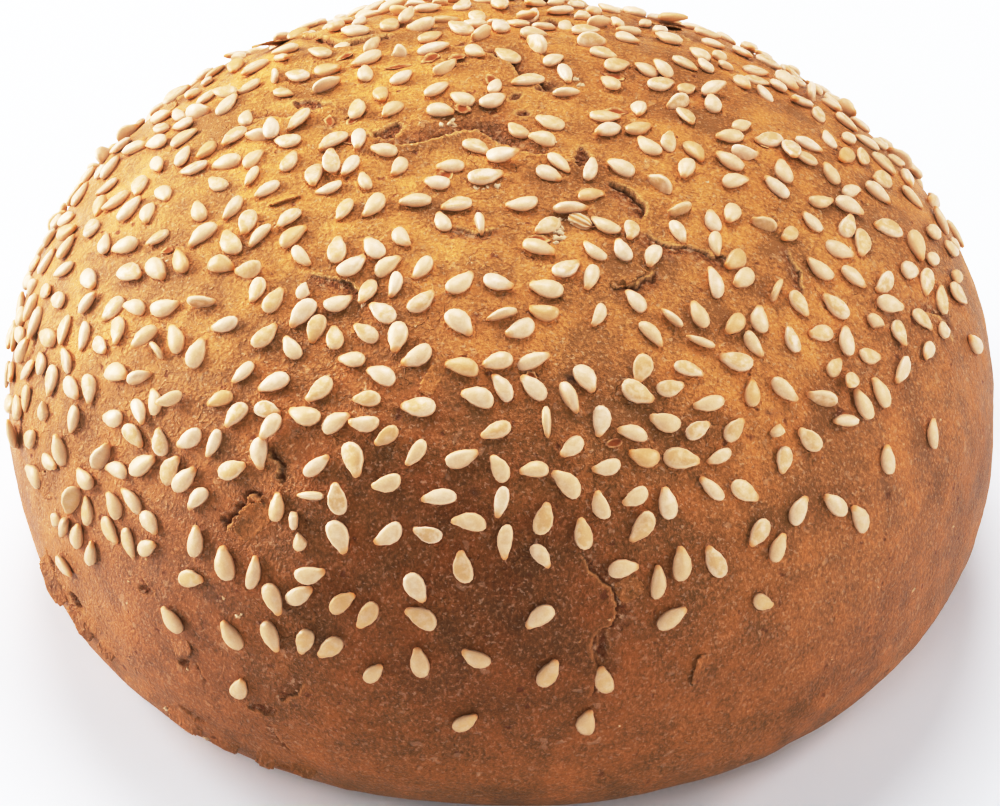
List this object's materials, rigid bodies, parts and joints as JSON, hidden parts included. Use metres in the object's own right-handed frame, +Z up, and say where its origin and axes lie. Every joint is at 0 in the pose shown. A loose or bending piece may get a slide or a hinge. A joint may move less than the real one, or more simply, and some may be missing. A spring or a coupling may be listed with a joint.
{
  "type": "bread roll",
  "caption": "Round brown bread roll with a domed crust, rounded lower side and flat underside, scattered with pale sesame seeds.",
  "frame": {"origin": "middle of the flat underside, which rests on the table", "axes": "+Z up through the crown, +X along the widest way across, -Y towards the side with the bald lower crust"},
  "size_m": [0.1, 0.0984, 0.053],
  "materials": {
    "crust": "matt baked brown crust, lighter on top and darker at the lower side, finely speckled",
    "seed": "satin cream sesame seed with a toasted golden tip"
  },
  "bodies": {
    "root": {"bread_roll": "crust"}
  },
  "joints": []
}
